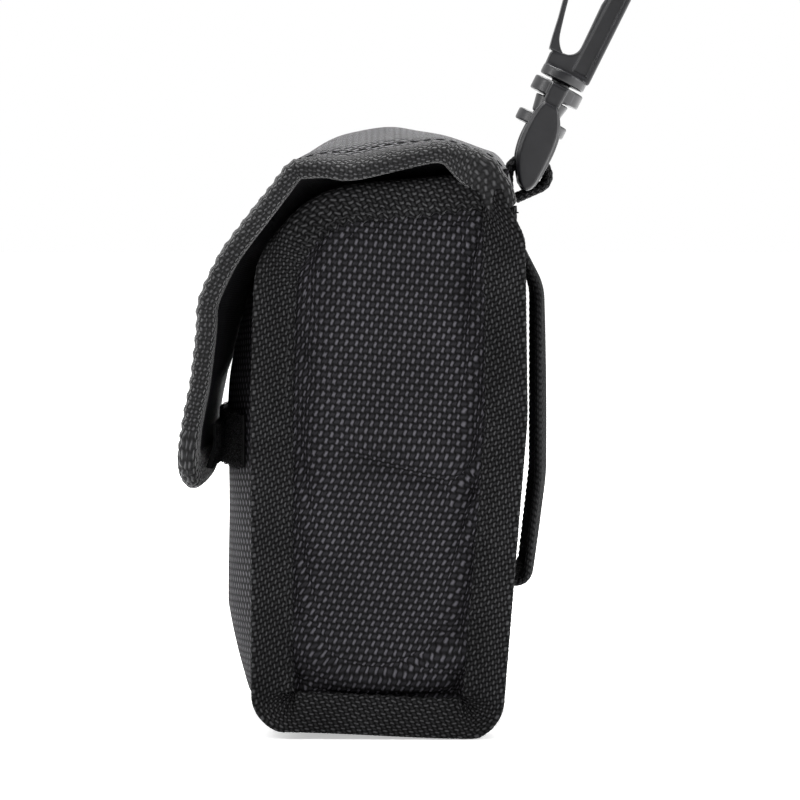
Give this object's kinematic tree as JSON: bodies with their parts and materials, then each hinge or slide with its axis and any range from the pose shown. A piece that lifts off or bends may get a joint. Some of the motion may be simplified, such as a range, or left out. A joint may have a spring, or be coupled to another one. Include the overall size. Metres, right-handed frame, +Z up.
{
  "type": "padded carrying pouch",
  "caption": "Padded nylon carrying pouch with a fold-over flap, a belt loop and a swivel snap hook at its back.",
  "frame": {"origin": "under the middle of the pouch, on the surface that it stands on", "axes": "+Z up, the flap and the front face -Y, X across the width"},
  "size_m": [0.0926, 0.1065, 0.1851],
  "materials": {
    "nylon": "coarse ballistic weave, low sheen",
    "lining": "plain lining cloth",
    "foam": "closed-cell foam sheet",
    "tape": "woven binding tape",
    "webbing": "woven webbing",
    "closure": "hook-and-loop tape",
    "plastic": "satin moulded plastic"
  },
  "bodies": {
    "pouch": {"outer_strip": "nylon", "side_panel_left": "nylon", "side_panel_right": "nylon", "back_foam": "foam", "bottom_foam": "foam", "front_foam": "foam", "side_foam_left": "foam", "side_foam_right": "foam", "lining_strip": "lining", "side_lining_left": "lining", "side_lining_right": "lining", "seam_tape_left": "tape", "seam_tape_right": "tape", "mouth_tape_left": "tape", "mouth_tape_right": "tape", "mouth_tape_front": "tape", "loop_tape": "closure", "belt_loop": "webbing", "hanging_tab": "webbing"},
    "flap_top": {"flap_top_panel": "nylon", "flap_top_foam": "foam", "flap_top_lining": "lining", "flap_top_tape_left": "tape", "flap_top_tape_right": "tape"},
    "flap_front": {"flap_front_panel": "nylon", "flap_front_foam": "foam", "flap_front_lining": "lining", "flap_front_tape": "tape", "hook_tape": "closure"},
    "hanging_loop": {"hanging_loop": "webbing"},
    "swivel_eye": {"swivel_eye": "plastic"},
    "snap_hook": {"snap_hook": "plastic"},
    "hook_gate": {"hook_gate": "plastic"}
  },
  "joints": [
    {"name": "flap_hinge", "type": "hinge", "parent": "pouch", "child": "flap_top", "pos_m": [0, 0.0259, 0.1272], "axis": [-1, 0, 0], "range_deg": [0, 76]},
    {"name": "flap_fold", "type": "hinge", "parent": "flap_top", "child": "flap_front", "pos_m": [0, -0.0256, 0.1229], "axis": [-1, 0, 0], "range_deg": [0, 85]},
    {"name": "loop_flop", "type": "hinge", "parent": "pouch", "child": "hanging_loop", "pos_m": [0, 0.0287, 0.1198], "axis": [-1, 0, 0], "range_deg": [-3, 35]},
    {"name": "eye_swing", "type": "hinge", "parent": "hanging_loop", "child": "swivel_eye", "pos_m": [0, 0.0318, 0.1239], "axis": [-1, 0, 0], "range_deg": [-28, 95]},
    {"name": "swivel_spin", "type": "hinge", "parent": "swivel_eye", "child": "snap_hook", "pos_m": [0, 0.02952, 0.12504], "axis": [0, 0.4462, 0.8949], "continuous": true},
    {"name": "gate_flex", "type": "hinge", "parent": "snap_hook", "child": "hook_gate", "pos_m": [0, 0.0383, 0.1535], "axis": [-1, 0, 0], "range_deg": [0, 15], "stiffness_Nm_per_rad": 0.02}
  ]
}
